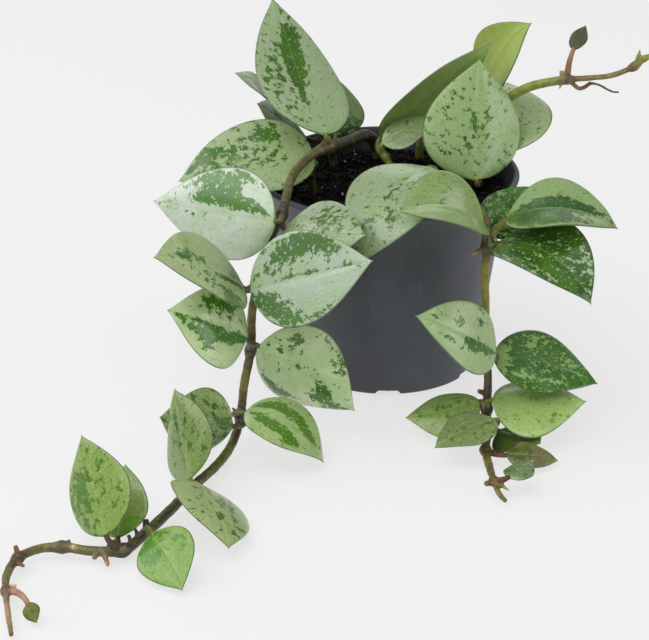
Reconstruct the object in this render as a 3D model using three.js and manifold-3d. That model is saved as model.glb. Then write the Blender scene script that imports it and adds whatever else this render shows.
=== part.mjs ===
// A potted hoya with silver leaves: a plain nursery pot, its soil, two trailing vines, a shoot, five
// short stems and the leaves that they all carry. Millimetres, +Z up. The origin is the centre of the
// pot's resting face, and the front, where the vines trail, is towards -Y.
import * as THREE from 'three';
import { mergeVertices } from 'three/addons/utils/BufferGeometryUtils.js';
import Module from 'manifold-3d';

const wasm = await Module();
wasm.setup();

// ---------------------------------------------------------------- driving dimensions
const GAP = 0.3; // clearance between pieces that would touch
const MERGE = 1e-4; // corners closer than this are one
const LEAST_ANGLE = 0.1; // degrees: a flat blade is bent this little, so that nothing divides by zero

const POT_HEIGHT = 82;
const RIM_RADIUS = 52.5;
const BASE_RADIUS = 37;
const COLLAR_HEIGHT = 15; // the band that flares out to the rim
const COLLAR_FOOT_RADIUS = 47.8;
const COLLAR_STEP = 1.2; // how far the collar stands out of the wall below it
const LIP_WIDTH = 2.2;
const RIM_ROUND = 1; // how far the rim's outer edge is rounded
const FOOT_ROUND = 0.8;
const WALL = 1.5;
const FLOOR_HEIGHT = 3; // underside of the floor above the surface
const FOOT_WIDTH = 6; // radial width of the ring that the pot stands on
const PAD_RADIUS = 9; // the pad at the centre of the underside, level with the ring
const NOTCH_COUNT = 6;
const NOTCH_WIDTH = 9;
const NOTCH_HEIGHT = 2;
const POT_SIDES = 56;

const SOIL_TOP = 74;
const SOIL_RELIEF = 1.4; // height of the lumps in the soil's top
const SOIL_WAVES = [[0.31, 0.17], [-0.13, 0.37], [0.23, -0.23]]; // radians per mm along X and Y
const SOIL_EDGE_DROP = 2; // the soil's top sinks this much at the wall
const SOIL_RINGS = 5;
const SOIL_SIDES = 28;
const HOLE_SIDES = 10; // the plain holes that the stems stand in

const BLADE_ROWS = 7;
const BLADE_COLUMNS = 4;
const BLADE_CENTRE_THICKNESS = 1.5;
const BLADE_EDGE_THICKNESS = 0.8;
const BLADE_END_HALF_WIDTH = 0.6; // the blade is cut blunt where it meets its petiole
const MIDRIB_DIP = 0.5;
const SHAPE_BASE = 0.64; // the outline's exponents: a round base, then a long drawn-out tip
const SHAPE_TIP = 1.12;

const STEM_SIDES = 6;
const STEM_STEP = 7.5; // length of one tube step
const NODE_SWELL = 0.9; // how far a stem swells at a node
const NODE_HALF_LENGTH = 2.4;
const NODE_REACH = 0.4; // most of a route step that half a node may take
const ASIDE = [0.35, 0.2, 1]; // a direction that no tube starts along
const PETIOLE_SIDES = 5;
const PETIOLE_STEPS = 3;
const PETIOLE_RADII = [1.5, 0.9]; // at the stem and at the blade
const PETIOLE_STRAIGHT = 0.45; // share of the petiole that runs in line with the midrib
const STUB_SIDES = 5;

// Stems: the points of the route that each follows, rows of a place on the route and the radius there,
// the route points that are nodes, and its stubs (air roots, flower stalks and buds) as rows of place,
// direction, length, root radius and tip radius. Place 2.5 is half way from point 2 to point 3.
const STEMS = {
  vine_left: {
    route: [
      [-4, 36, 70], [-4, 36, 79], [-8, 29, 86], [-17, 11, 89.5], [-24, -7, 94.5], [-30.5, -16, 94],
      [-37.5, -31, 91.5], [-40, -43, 87], [-41.5, -52, 83.5], [-45, -53, 75], [-51, -57, 57],
      [-53, -60, 46.5], [-53.5, -65, 33], [-56, -69, 21], [-57.5, -73, 9], [-60, -87, 5],
      [-65, -105, 5], [-74, -124, 5], [-80, -139, 5], [-88, -155, 4.5], [-95.5, -168, 4.5],
      [-107, -167.5, 4], [-117, -165, 4], [-125.5, -166.5, 4], [-131.5, -173, 4], [-134, -183, 3.5],
      [-133, -194, 3.5], [-130.5, -208, 3], [-128, -220, 2.5],
    ],
    radii: [
      [0, 2.6], [4, 2.5], [5, 1.7], [7.5, 1.9], [9, 1.4], [11, 1.7], [16, 1.8], [19, 2],
      [21, 1.8], [25, 1.5], [26.5, 1.1], [28, 0.9],
    ],
    nodes: [4, 8, 10, 12, 14, 17, 20, 22, 24, 26],
    stubs: [
      [4.1, [0.3, 0.5, 1], 5, 1.2, 0.6], [14, [-0.6, -0.5, 0.9], 6, 1.1, 0.5],
      [19, [-0.1, 0.5, 1], 4.5, 1.5, 1.2], [19.35, [-0.4, 0.4, 1], 4, 0.9, 0.7],
      [19.65, [-0.4, 0.4, 1], 4, 0.9, 0.7], [20.15, [-0.4, 0.4, 1], 4.5, 0.9, 0.7],
      [20.45, [0.2, 0.4, 1], 4, 1.2, 0.8], [20.6, [0.35, -1, -0.3], 7, 1.3, 0.7],
      [20.75, [-0.3, -1, -0.2], 4, 1.2, 0.9], [21.6, [0.2, -0.6, 0.6], 2.8, 1, 0.8],
      [21.8, [0.2, 0.7, 0.7], 3, 1, 0.7], [23.9, [-0.3, 0.3, 1], 4.5, 1.1, 0.9],
      [24.2, [1, -0.7, -0.1], 4.5, 1.1, 0.6], [25.8, [1, -0.1, 0.3], 4, 1, 0.7],
    ],
  },
  vine_right: {
    route: [
      [27, -18, 70], [27, -18, 78], [26.5, -29, 86], [29.5, -43, 87], [35, -51.5, 81.5],
      [36.5, -53, 70.5], [36, -55, 60], [36.5, -57, 48], [37, -58, 36], [37.5, -59, 26],
      [38, -61, 16], [37.5, -65, 8], [37, -79, 4.5], [35.5, -92, 4], [36, -104, 4],
      [37, -116.5, 4], [38.5, -126, 3.5], [40.5, -130, 3],
    ],
    radii: [
      [0, 2.2], [4, 1.9], [6, 1.55], [8, 1.5], [9, 1.6], [11, 1.75], [12, 1.65], [14, 1.6],
      [15, 1.2], [17, 0.9],
    ],
    nodes: [5, 9, 11, 13, 15],
    stubs: [
      [5, [-1, -0.6, -0.2], 8, 1.2, 0.7], [5.1, [0.5, -1, 0], 5, 1.1, 0.8],
      [10.4, [-1, -0.2, 0.6], 4.5, 1.2, 0.9], [10.9, [-1, 0, 0.1], 4, 1.2, 0.9],
      [11.9, [1, -0.3, 0.5], 3, 1, 0.7], [12.3, [-1, -0.2, 0.2], 4, 1.2, 0.8],
      [14.9, [0.42, -1, 0.15], 13, 1.6, 0.3], [15.1, [-0.8, -0.4, 0.1], 4, 1.2, 1.1],
    ],
  },
  shoot_upper_right: {
    route: [
      [38, 8, 70], [38, 8, 78], [41, 14, 92], [47, 18, 104], [55, 15, 111], [63, 12, 114.5],
      [71, 10, 116.5], [80, 9, 117.5], [89, 8, 119], [97, 7, 123], [100.5, 6, 126.5],
    ],
    radii: [[0, 2], [4, 1.9], [5.6, 1.75], [6.2, 1.2], [8.6, 1.1], [9.6, 1.3], [10, 1.2]],
    nodes: [1, 3, 6, 9],
    stubs: [
      [5.8, [-0.3, 0, -1], 4, 0.9, 0.4], [5.8, [-0.2, 0, 1], 4, 1.1, 0.9],
      [6.2, [1, 0.4, -0.5], 12, 0.6, 0.4],
      [9.3, [0.1, 0, 1], 6, 1.8, 0.3], [9.9, [1, 0, 0.5], 4, 1.6, 0.8],
    ],
  },
  stem_front: {
    route: [[18, -21, 70], [18, -21, 78], [18, -22, 88]],
    radii: [[0, 1.9], [2, 1.5]],
    nodes: [2],
    stubs: [],
  },
  stem_centre: {
    route: [[2, 9, 70], [2, 9, 78], [-1, 12, 84]],
    radii: [[0, 1.8], [2, 1.4]],
    nodes: [2],
    stubs: [],
  },
  stem_back_right: {
    route: [[14, 34, 70], [14, 34, 78], [16, 38, 90], [25, 42, 100], [33, 42, 103]],
    radii: [[0, 1.9], [4, 1.4]],
    nodes: [2, 4],
    stubs: [],
  },
  stem_back_left: {
    route: [[-22, 26, 70], [-22, 26, 78], [-25, 24, 87], [-31, 22, 95]],
    radii: [[0, 1.9], [3, 1.3]],
    nodes: [2, 3],
    stubs: [],
  },
  stem_front_left: {
    route: [[-30, -8, 70], [-30, -8, 78], [-31, -12, 86]],
    radii: [[0, 1.8], [2, 1.4]],
    nodes: [2],
    stubs: [],
  },
};

// Leaves: name, the stem and route point of the petiole, the blade's base point, its length and width,
// then its heading in plan (from +X towards +Y), rise, roll about the midrib, how far the tip bends
// down and how far the edges curl down, in degrees.
const LEAVES = [
  ['leaf_left_01', 'vine_left', 4, [-25, -10, 100.5], 62, 46, 121, 36, 18, -20, 2],
  ['leaf_left_02', 'stem_back_left', 3, [-45, 33, 98], 24, 17, 211, 60, -26, 40, 0],
  ['leaf_left_03', 'stem_back_left', 2, [-33, 19, 88.5], 31, 26, 216, 39, -35, -2, 18],
  ['leaf_left_04', 'vine_left', 3, [-21, 26, 87], 35, 27, 93, 34, 8, 12, 12],
  ['leaf_left_05', 'stem_front_left', 2, [-29, -13.5, 90.5], 57, 40, 190, 15, -27, 55, -12],
  ['leaf_left_06', 'vine_left', 8, [-44, -60, 84], 53, 37, 154, -1, -70, 2, 27],
  ['leaf_left_07', 'vine_left', 8, [-40, -56, 79], 35, 32, 326, 13, 38, 13, 21],
  ['leaf_left_08', 'vine_left', 10, [-53, -69.5, 60], 53, 37, 336, 23, 62, 4, -6],
  ['leaf_left_09', 'vine_left', 10, [-56, -67, 60], 47, 39, 227, 46, -33, 35, 0],
  ['leaf_left_10', 'vine_left', 12, [-55, -71, 41], 41, 32, 242, 38, -80, 48, 8],
  ['leaf_left_11', 'vine_left', 12, [-50, -72, 38], 44, 39, 349, -30, 98, 0, 28],
  ['leaf_left_12', 'vine_left', 14, [-55, -89.5, 18.5], 37, 34, 345, 8, 2, 70, 0],
  ['leaf_left_13', 'vine_left', 14, [-60, -90, 13], 30, 28, 198, 14, -85, -8, 33],
  ['leaf_left_14', 'vine_left', 17, [-74, -126, 10], 36, 31, 106, 38, -65, 0, 22],
  ['leaf_left_15', 'vine_left', 17, [-71, -132, 11], 41, 33, 294, 8, -32, 31, 7],
  ['leaf_left_16', 'vine_left', 20, [-101, -169, 11], 37, 30, 114, 48, -58, 3, 18],
  ['leaf_left_17', 'vine_left', 20, [-98, -158, 4], 28, 22, 89, 45, -25, 13, 12],
  ['leaf_left_18', 'vine_left', 19, [-85, -168, 11], 28, 22, 297, -8, 30, 15, 0],
  ['leaf_left_19', 'vine_left', 26, [-124, -206, 6], 8, 6, 297, -24, 30, 5, 10],
  ['leaf_right_01', 'vine_right', 5, [34, -67, 85], 35, 50, 193, 50, -8, 75, -20],
  ['leaf_right_02', 'vine_right', 5, [44, -51, 81], 45, 41, 345, 35, 7, 74, -16],
  ['leaf_right_03', 'vine_right', 5, [41, -59, 75], 51, 37, 310, 25, 10, 75, -20],
  ['leaf_right_04', 'vine_right', 9, [39.5, -71, 34.5], 44, 28, 230, 42, -68, 36, -6],
  ['leaf_right_05', 'vine_right', 9, [40, -58.5, 27.5], 42, 36, 355, -1, 16, 25, 0],
  ['leaf_right_06', 'vine_right', 11, [34, -69, 13], 29, 26, 186, -15, -19, -10, 38],
  ['leaf_right_07', 'vine_right', 12, [39, -85.5, 13.5], 27, 21, 209, 0, -6, 25, 0],
  ['leaf_right_08', 'vine_right', 11, [39, -72, 15], 36, 36, 357, -1, 13, -4, 23],
  ['leaf_right_09', 'vine_right', 12, [42, -76, 4], 20, 23, 316, 8, 11, 7, 9],
  ['leaf_right_10', 'vine_right', 13, [43, -98, 5], 20, 13, 356, 6, 23, 31, 0],
  ['leaf_right_11', 'vine_right', 15, [42, -121, 8], 14, 12, 45, 8, 0, 0, 20],
  ['leaf_centre_01', 'stem_front', 2, [15, -31, 94.5], 54, 43, 233, 6, 2, 70, 0],
  ['leaf_centre_02', 'shoot_upper_right', 1, [35, -6, 80], 48, 46, 89, 68, 25, -4, 24],
  ['leaf_centre_03', 'shoot_upper_right', 1, [41, 14, 83], 47, 48, 78, 36, -6, 30, -4],
  ['leaf_centre_04', 'stem_back_right', 4, [41, 40, 103], 41, 28, 296, 62, -88, -18, 32],
  ['leaf_centre_05', 'stem_centre', 2, [-2, 27, 86], 62, 32, 357, 48, -46, 11, 23],
  ['leaf_centre_06', 'stem_centre', 2, [-2, 11, 89], 26, 20, 9, 34, 14, 22, 10],
  ['leaf_centre_07', 'vine_right', 4, [37, -49, 75], 31, 21, 46, 21, 37, 2, 5],
  ['leaf_shoot_01', 'shoot_upper_right', 6, [73, 10, 129], 11, 8, 46, 54, 3, 12, 0],
];

const LEAF_GREEN = { color: 0x86a468, roughness: 0.38, metalness: 0 };
const STEM_BROWN = { color: 0x5c5232, roughness: 0.6, metalness: 0 };
const STEM_OLIVE = { color: 0x7d7b36, roughness: 0.5, metalness: 0 };
const POT_PLASTIC = { color: 0x43464c, roughness: 0.42, metalness: 0 };
const SOIL_BROWN = { color: 0x241a14, roughness: 0.95, metalness: 0 };

// ---------------------------------------------------------------- joining and cutting
function solidFrom(geometry) {
  const bare = geometry.clone();
  bare.deleteAttribute('normal');
  bare.deleteAttribute('uv');
  const merged = mergeVertices(bare, MERGE);
  return new wasm.Manifold(new wasm.Mesh({
    numProp: 3,
    vertProperties: new Float32Array(merged.attributes.position.array),
    triVerts: new Uint32Array(merged.index.array),
  }));
}

function geometryFrom(solid) {
  const mesh = solid.getMesh();
  const geometry = new THREE.BufferGeometry();
  geometry.setAttribute('position', new THREE.BufferAttribute(mesh.vertProperties, 3));
  geometry.setIndex(new THREE.BufferAttribute(mesh.triVerts, 1));
  geometry.computeVertexNormals();
  return geometry;
}

function joined(geometries) {
  return geometryFrom(geometries.map(solidFrom).reduce((all, next) => all.add(next)));
}

function named(name, geometry, look) {
  const mesh = new THREE.Mesh(geometry, new THREE.MeshStandardMaterial(look));
  mesh.name = name;
  return mesh;
}

const vector = (point) => new THREE.Vector3(...point);
const { degToRad, lerp } = THREE.MathUtils;

// ---------------------------------------------------------------- pot and soil
const lathed = (profile, sides) =>
  new THREE.LatheGeometry(profile.map(([r, z]) => new THREE.Vector2(r, z)), sides)
    .rotateX(Math.PI / 2);

const collarFoot = POT_HEIGHT - COLLAR_HEIGHT;
const wallTopRadius = COLLAR_FOOT_RADIUS - COLLAR_STEP;

// The pot's inner face, as radius at a height.
function innerRadius(z) {
  if (z < collarFoot) {
    return lerp(BASE_RADIUS, wallTopRadius, z / collarFoot) - WALL;
  }
  return lerp(wallTopRadius - WALL, RIM_RADIUS - LIP_WIDTH, (z - collarFoot) / COLLAR_HEIGHT);
}

function potGeometry() {
  const floorTop = FLOOR_HEIGHT + WALL;
  const profile = [
    [0, 0],
    [PAD_RADIUS, 0],
    [PAD_RADIUS + FOOT_ROUND, FLOOR_HEIGHT],
    [BASE_RADIUS - FOOT_WIDTH - FOOT_ROUND, FLOOR_HEIGHT],
    [BASE_RADIUS - FOOT_WIDTH, 0],
    [BASE_RADIUS - FOOT_ROUND, 0],
    [BASE_RADIUS, FOOT_ROUND],
    [wallTopRadius, collarFoot],
    [COLLAR_FOOT_RADIUS, collarFoot + COLLAR_STEP / 2],
    [RIM_RADIUS - RIM_ROUND, POT_HEIGHT - LIP_WIDTH],
    [RIM_RADIUS, POT_HEIGHT - RIM_ROUND],
    [RIM_RADIUS - RIM_ROUND * 0.7, POT_HEIGHT],
    [RIM_RADIUS - LIP_WIDTH, POT_HEIGHT],
    [innerRadius(collarFoot), collarFoot],
    [innerRadius(floorTop), floorTop],
    [0, floorTop],
  ];
  let pot = solidFrom(lathed(profile, POT_SIDES));
  for (let i = 0; i < NOTCH_COUNT; i++) {
    const notch = new THREE.BoxGeometry(FOOT_WIDTH * 3, NOTCH_WIDTH, NOTCH_HEIGHT * 2);
    notch.translate(BASE_RADIUS - FOOT_WIDTH / 2, 0, 0);
    notch.rotateZ((i / NOTCH_COUNT) * 2 * Math.PI - Math.PI / 2);
    pot = pot.subtract(solidFrom(notch));
  }
  return geometryFrom(pot);
}

// Lumps in the soil's top: a few waves that cross, so that no two patches match.
function soilHeight(x, y) {
  const heights = SOIL_WAVES.map(([alongX, alongY]) => Math.sin(x * alongX + y * alongY));
  const sum = heights.reduce((total, height) => total + height);
  return SOIL_TOP + (SOIL_RELIEF * sum) / SOIL_WAVES.length;
}

// The block of soil, with an upright hole at the foot of each stem, open at the top.
function soilGeometry(stems) {
  const floor = FLOOR_HEIGHT + WALL + GAP;
  const edge = SOIL_TOP - SOIL_EDGE_DROP;
  const profile = [[0, floor]];
  for (const z of [floor, collarFoot, edge]) {
    profile.push([innerRadius(z) - GAP, z]);
  }
  for (let ring = SOIL_RINGS - 1; ring >= 0; ring--) {
    profile.push([((innerRadius(edge) - GAP) * ring) / SOIL_RINGS, SOIL_TOP]);
  }
  const block = lathed(profile, SOIL_SIDES);
  const position = block.attributes.position;
  for (let i = 0; i < position.count; i++) {
    if (position.getZ(i) > edge + GAP) {
      position.setZ(i, soilHeight(position.getX(i), position.getY(i)));
    }
  }
  let soil = solidFrom(block);
  for (const { route, radii } of stems) {
    const [x, y, z] = route[0];
    const depth = SOIL_TOP - z;
    const [[, footRadius]] = radii;
    const holeRadius = (footRadius + GAP) / Math.cos(Math.PI / HOLE_SIDES);
    const hole = new THREE.CylinderGeometry(holeRadius, holeRadius, depth * 4, HOLE_SIDES);
    hole.rotateX(Math.PI / 2);
    soil = soil.subtract(solidFrom(hole.translate(x, y, z - GAP + depth * 2)));
  }
  return geometryFrom(soil);
}

// ---------------------------------------------------------------- stems
// Places along a route where the tube has a ring, and the node swell there.
function stations(route, nodes) {
  const places = new Map([[0, 0]]);
  for (let k = 0; k < route.length - 1; k++) {
    const chord = vector(route[k]).distanceTo(vector(route[k + 1]));
    const pieces = Math.max(1, Math.round(chord / STEM_STEP));
    for (let i = 1; i <= pieces; i++) {
      places.set(k + i / pieces, 0);
    }
  }
  for (const node of nodes) {
    const chord = vector(route[node]).distanceTo(vector(route[node - 1]));
    const reach = Math.min(NODE_REACH, NODE_HALF_LENGTH / chord);
    places.set(node - reach, 0);
    places.set(node, NODE_SWELL);
    if (node < route.length - 1) {
      places.set(node + reach, 0);
    }
  }
  return [...places].sort((a, b) => a[0] - b[0]);
}

// A stem's radius at a place along its route, from its rows of place and radius.
function radiusAt(rows, place) {
  const next = Math.max(1, rows.findIndex(([at]) => at >= place));
  const [[start, first], [end, second]] = rows.slice(next - 1, next + 1);
  return lerp(first, second, (place - start) / (end - start));
}

// A closed tube through the given centres, with one tangent and one radius each.
function tubeGeometry(centres, tangents, radii, sides) {
  const steps = centres.length - 1;
  const tube = new THREE.CylinderGeometry(1, 1, 1, sides, steps);
  const normals = [];
  let normal = vector(ASIDE).cross(tangents[0]).normalize();
  for (const tangent of tangents) {
    normal = normal.clone().addScaledVector(tangent, -normal.dot(tangent)).normalize();
    normals.push(normal);
  }
  const position = tube.attributes.position;
  for (let i = 0; i < position.count; i++) {
    const ring = Math.round((0.5 - position.getY(i)) * steps);
    const across = tangents[ring].clone().cross(normals[ring]);
    const point = centres[ring].clone()
      .addScaledVector(normals[ring], position.getX(i) * radii[ring])
      .addScaledVector(across, position.getZ(i) * radii[ring]);
    position.setXYZ(i, point.x, point.y, point.z);
  }
  return tube;
}

const tubeAlong = (curve, places, radii, sides) => tubeGeometry(
  places.map((place) => curve.getPoint(place)),
  places.map((place) => curve.getTangent(place)),
  radii,
  sides,
);

function curveThrough(route) {
  return new THREE.CatmullRomCurve3(route.map(vector), false, 'centripetal');
}

function petioleGeometry(stem, leaf) {
  const [, , node, base, , , heading, rise] = leaf;
  const start = vector(stem.route[node]);
  const along = new THREE.Vector3(
    Math.cos(degToRad(rise)) * Math.cos(degToRad(heading)),
    Math.cos(degToRad(rise)) * Math.sin(degToRad(heading)),
    Math.sin(degToRad(rise)),
  );
  const end = vector(base).addScaledVector(along, -GAP);
  const bend = end.clone().addScaledVector(along, -PETIOLE_STRAIGHT * start.distanceTo(end));
  const curve = new THREE.QuadraticBezierCurve3(start, bend, end);
  const places = Array.from({ length: PETIOLE_STEPS + 1 }, (_, i) => i / PETIOLE_STEPS);
  const radii = places.map((place) => lerp(...PETIOLE_RADII, place));
  return tubeAlong(curve, places, radii, PETIOLE_SIDES);
}

function stubGeometry(curve, last, [place, direction, length, root, tip]) {
  const start = curve.getPoint(place / last);
  const along = vector(direction).normalize();
  const end = start.clone().addScaledVector(along, length);
  return tubeGeometry([start, end], [along, along], [root, tip], STUB_SIDES);
}

function stemGeometry(name) {
  const { route, radii, nodes, stubs } = STEMS[name];
  const curve = curveThrough(route);
  const last = route.length - 1;
  const rings = stations(route, nodes);
  const places = rings.map(([place]) => place / last);
  const widths = rings.map(([place, swell]) => radiusAt(radii, place) + swell);
  const pieces = [tubeAlong(curve, places, widths, STEM_SIDES)];
  for (const leaf of LEAVES.filter((row) => row[1] === name)) {
    pieces.push(petioleGeometry(STEMS[name], leaf));
  }
  for (const stub of stubs) {
    pieces.push(stubGeometry(curve, last, stub));
  }
  return joined(pieces);
}

// ---------------------------------------------------------------- leaves
const shapePeak = (SHAPE_BASE / (SHAPE_BASE + SHAPE_TIP)) ** SHAPE_BASE
  * (SHAPE_TIP / (SHAPE_BASE + SHAPE_TIP)) ** SHAPE_TIP;

// Half the blade's width at a share t of its length.
function halfWidth(t, width) {
  const shape = (t ** SHAPE_BASE * (1 - t) ** SHAPE_TIP) / shapePeak;
  return Math.max(BLADE_END_HALF_WIDTH, (shape * width) / 2);
}

// A point of the blade: t along the midrib, s across from -1 to 1, face 1 above and -1 below.
function bladePoint(t, s, face, length, width, bend, cup) {
  const arc = degToRad(bend || LEAST_ANGLE);
  const curl = degToRad(cup || LEAST_ANGLE);
  const half = halfWidth(t, width);
  const thickness = lerp(BLADE_CENTRE_THICKNESS, BLADE_EDGE_THICKNESS, Math.abs(s));
  const dip = s === 0 && t > 0 && t < 1 ? MIDRIB_DIP : 0;
  const drop = (half * (1 - Math.cos(curl * s))) / curl + dip;
  const lift = (face * thickness) / 2 - drop;
  return [
    (length * Math.sin(arc * t)) / arc + lift * Math.sin(arc * t),
    (half * Math.sin(curl * s)) / curl,
    (-length * (1 - Math.cos(arc * t))) / arc + lift * Math.cos(arc * t),
  ];
}

// A thin closed blade with the same triangles on both faces and a band round the edge.
function bladeGeometry(length, width, bend, cup) {
  const positions = [];
  for (const face of [1, -1]) {
    for (let i = 0; i <= BLADE_ROWS; i++) {
      const t = (1 - Math.cos((Math.PI * i) / BLADE_ROWS)) / 2;
      for (let j = 0; j <= BLADE_COLUMNS; j++) {
        const s = (2 * j) / BLADE_COLUMNS - 1;
        positions.push(...bladePoint(t, s, face, length, width, bend, cup));
      }
    }
  }
  const above = (i, j) => i * (BLADE_COLUMNS + 1) + j;
  const below = (i, j) => above(i, j) + (BLADE_ROWS + 1) * (BLADE_COLUMNS + 1);
  const index = [];
  for (let i = 0; i < BLADE_ROWS; i++) {
    for (let j = 0; j < BLADE_COLUMNS; j++) {
      index.push(above(i, j), above(i + 1, j), above(i + 1, j + 1));
      index.push(above(i, j), above(i + 1, j + 1), above(i, j + 1));
      index.push(below(i, j), below(i + 1, j + 1), below(i + 1, j));
      index.push(below(i, j), below(i, j + 1), below(i + 1, j + 1));
    }
  }
  const edge = (i, j, m, n) => {
    index.push(above(i, j), below(i, j), below(m, n));
    index.push(above(i, j), below(m, n), above(m, n));
  };
  for (let i = 0; i < BLADE_ROWS; i++) {
    edge(i, 0, i + 1, 0);
    edge(i + 1, BLADE_COLUMNS, i, BLADE_COLUMNS);
  }
  for (let j = 0; j < BLADE_COLUMNS; j++) {
    edge(BLADE_ROWS, j, BLADE_ROWS, j + 1);
    edge(0, j + 1, 0, j);
  }
  const geometry = new THREE.BufferGeometry();
  geometry.setAttribute('position', new THREE.Float32BufferAttribute(positions, 3));
  geometry.setIndex(index);
  geometry.computeVertexNormals();
  return geometry;
}

function leafMesh([name, , , base, length, width, heading, rise, roll, bend, cup]) {
  const mesh = named(name, bladeGeometry(length, width, bend, cup), LEAF_GREEN);
  mesh.position.set(...base);
  mesh.rotation.set(degToRad(roll), degToRad(-rise), degToRad(heading), 'ZYX');
  return mesh;
}

// ---------------------------------------------------------------- the plant
const plant = new THREE.Group();
plant.add(named('pot', potGeometry(), POT_PLASTIC));
plant.add(named('soil', soilGeometry(Object.values(STEMS)), SOIL_BROWN));
for (const name of Object.keys(STEMS)) {
  plant.add(named(name, stemGeometry(name), name === 'vine_left' ? STEM_BROWN : STEM_OLIVE));
}
for (const leaf of LEAVES) {
  plant.add(leafMesh(leaf));
}

export default plant;
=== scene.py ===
# %% [markdown]
# # A potted hoya, dressed for the camera
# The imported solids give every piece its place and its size: a nursery pot, its soil, eight stems and
# thirty-eight leaves. This script keeps those forms and gives each one the surface that the living plant
# has. The plan is to load the solids first, then to make the leaves, the stems, the soil and the pot
# again in finer meshes, and to stand the camera where the photograph was taken.

# %% Load the solids
import math
import random

import bmesh
import bpy
from mathutils import Matrix, Vector, noise
from mathutils.kdtree import KDTree


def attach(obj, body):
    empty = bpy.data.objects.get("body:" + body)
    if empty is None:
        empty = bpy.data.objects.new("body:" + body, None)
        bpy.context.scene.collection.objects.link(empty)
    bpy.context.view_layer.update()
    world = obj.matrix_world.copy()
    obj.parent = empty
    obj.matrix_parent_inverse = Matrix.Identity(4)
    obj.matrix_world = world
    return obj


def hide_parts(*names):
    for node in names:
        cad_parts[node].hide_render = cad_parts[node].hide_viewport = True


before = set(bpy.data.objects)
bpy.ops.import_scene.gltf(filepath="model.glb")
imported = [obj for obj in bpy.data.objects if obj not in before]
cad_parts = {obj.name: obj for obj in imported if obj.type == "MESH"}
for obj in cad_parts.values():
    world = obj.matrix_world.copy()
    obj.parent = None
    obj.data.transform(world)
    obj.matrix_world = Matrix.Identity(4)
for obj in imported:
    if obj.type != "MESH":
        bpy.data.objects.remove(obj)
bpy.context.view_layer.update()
MM = 0.001

# %% [markdown]
# ## Where the camera stands
# The horizon of the photograph isn't seen, but the pot's rim is an ellipse, and how flat it is says how
# far down the camera looks. A long lens from almost a metre away gives the same small difference
# between the near and the far side of the rim. Another way is to match by eye, but the ellipse is surer.

# %% Camera
CAMERA_PLACE = Vector((-25.3, -878.7, 415.3)) * MM
LOOKS_DOWN = math.radians(24.43)
SENSOR_WIDTH = 36.0
FOCAL_SHARE = 3.6194  # focal length over the width of the picture


def placed(name, data):
    """A new object in the scene, at the origin."""
    made = bpy.data.objects.new(name, data)
    bpy.context.scene.collection.objects.link(made)
    return made


def stand_camera():
    """A camera on the photograph's line of sight."""
    lens = bpy.data.cameras.new("camera")
    lens.sensor_width = SENSOR_WIDTH
    lens.lens = SENSOR_WIDTH * FOCAL_SHARE
    camera = placed("camera", lens)
    camera.location = CAMERA_PLACE
    camera.rotation_euler = (math.pi / 2 - LOOKS_DOWN, 0, 0)
    bpy.context.scene.camera = camera
    return camera


stand_camera()
print("camera at", [round(c, 3) for c in CAMERA_PLACE])

# %% [markdown]
# ## Sums on sockets
# A material is a net of nodes, and a long net is hard to read. A small class that stands for a node's
# output lets the sums be written as Python: `1 - mask` adds the Math node by itself. One method adds
# every other kind of node, so each finish below reads as a recipe.


# %% Wires and finishes
class Wire:
    """The output of a node, which can be added, taken away, multiplied and eased."""

    def __init__(self, finish, socket):
        self.finish = finish
        self.socket = socket

    def sum(self, operation, first, second):
        return self.finish.node("ShaderNodeMath", {"operation": operation}, {0: first, 1: second})

    def __add__(self, other):
        return self.sum("ADD", self, other)

    def __sub__(self, other):
        return self.sum("SUBTRACT", self, other)

    def __rsub__(self, other):
        return self.sum("SUBTRACT", other, self)

    def __mul__(self, other):
        return self.sum("MULTIPLY", self, other)

    __radd__ = __add__
    __rmul__ = __mul__

    def ease(self, low, high):
        """0 below low, 1 above high, and a smooth rise between them."""
        settings = {"interpolation_type": "SMOOTHSTEP"}
        return self.finish.node("ShaderNodeMapRange", settings, {0: self, 1: low, 2: high})


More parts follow.
